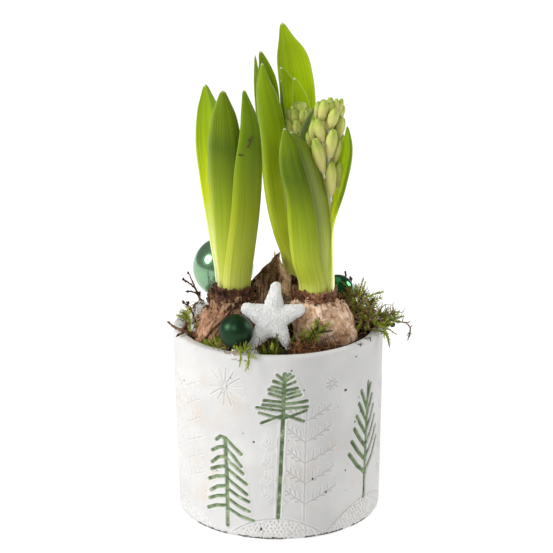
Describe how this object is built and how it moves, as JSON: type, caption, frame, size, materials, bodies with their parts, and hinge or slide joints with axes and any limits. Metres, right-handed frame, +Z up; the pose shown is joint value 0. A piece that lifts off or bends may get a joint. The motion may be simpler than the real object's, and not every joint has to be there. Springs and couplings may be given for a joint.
{
  "type": "potted hyacinth",
  "caption": "Forced hyacinths in bud, growing from bare bulbs in a round white pot dressed with moss, baubles, a frosted star and artificial snow.",
  "frame": {"origin": "centre of the pot's flat foot, on the surface it stands on", "axes": "+Z up along the pot's axis; -Y is the front, where the star leans between the two front bulbs; +X to the viewer's right"},
  "size_m": [0.1847, 0.1639, 0.3711],
  "materials": {
    "pot": "matt, white-washed, with green in the impressed trees",
    "soil": "damp coir and peat",
    "bulb": "papery brown tunic",
    "skin": "dry ragged skin",
    "leaf": "satin, fleshy",
    "flower": "satin, fleshy",
    "bauble_mint": "pearl",
    "bauble_dark": "satin",
    "bauble_shiny": "mirror gloss",
    "metal": "bright",
    "frost": "glittering frost",
    "moss": "loose moss",
    "twig": "bark"
  },
  "bodies": {
    "root": {"pot": "pot", "soil": "soil", "bulb_left": "bulb", "bulb_right": "bulb", "bulb_back": "bulb", "neck_skin_left": "skin", "neck_skin_right": "skin", "neck_skin_back": "skin", "torn_skin_back": "skin", "leaf_left_front_right": "leaf", "leaf_left_front_left": "leaf", "leaf_left_back_left": "leaf", "leaf_left_back_right": "leaf", "leaf_right_front_left": "leaf", "leaf_right_front_wide": "leaf", "leaf_right_side": "leaf", "leaf_right_back": "leaf", "leaf_right_inner": "leaf", "leaf_back_front_left": "leaf", "leaf_back_left": "leaf", "leaf_back_narrow": "leaf", "leaf_back_tall": "leaf", "leaf_back_hooded": "leaf", "leaf_back_right": "leaf", "leaf_back_slender": "leaf", "flower_spike_right": "flower", "flower_spike_back": "flower", "flower_spike_left": "flower", "bauble_mint": "bauble_mint", "bauble_mint_cap": "metal", "bauble_mint_pick": "metal", "bauble_dark_green": "bauble_dark", "bauble_dark_green_cap": "metal", "bauble_dark_green_pick": "metal", "bauble_shiny_green": "bauble_shiny", "bauble_shiny_green_cap": "metal", "bauble_shiny_green_pick": "metal", "star": "frost", "star_pick": "metal", "moss_right": "moss", "moss_left": "moss", "moss_front_left": "moss", "moss_star": "moss", "moss_bulb": "moss", "moss_strand_right": "moss", "moss_strand_rim": "moss", "moss_strand_front": "moss", "coir_front": "twig", "twig_left": "twig", "twig_rim": "twig", "twig_back": "twig", "snow_left": "frost", "snow_front": "frost"}
  },
  "joints": []
}
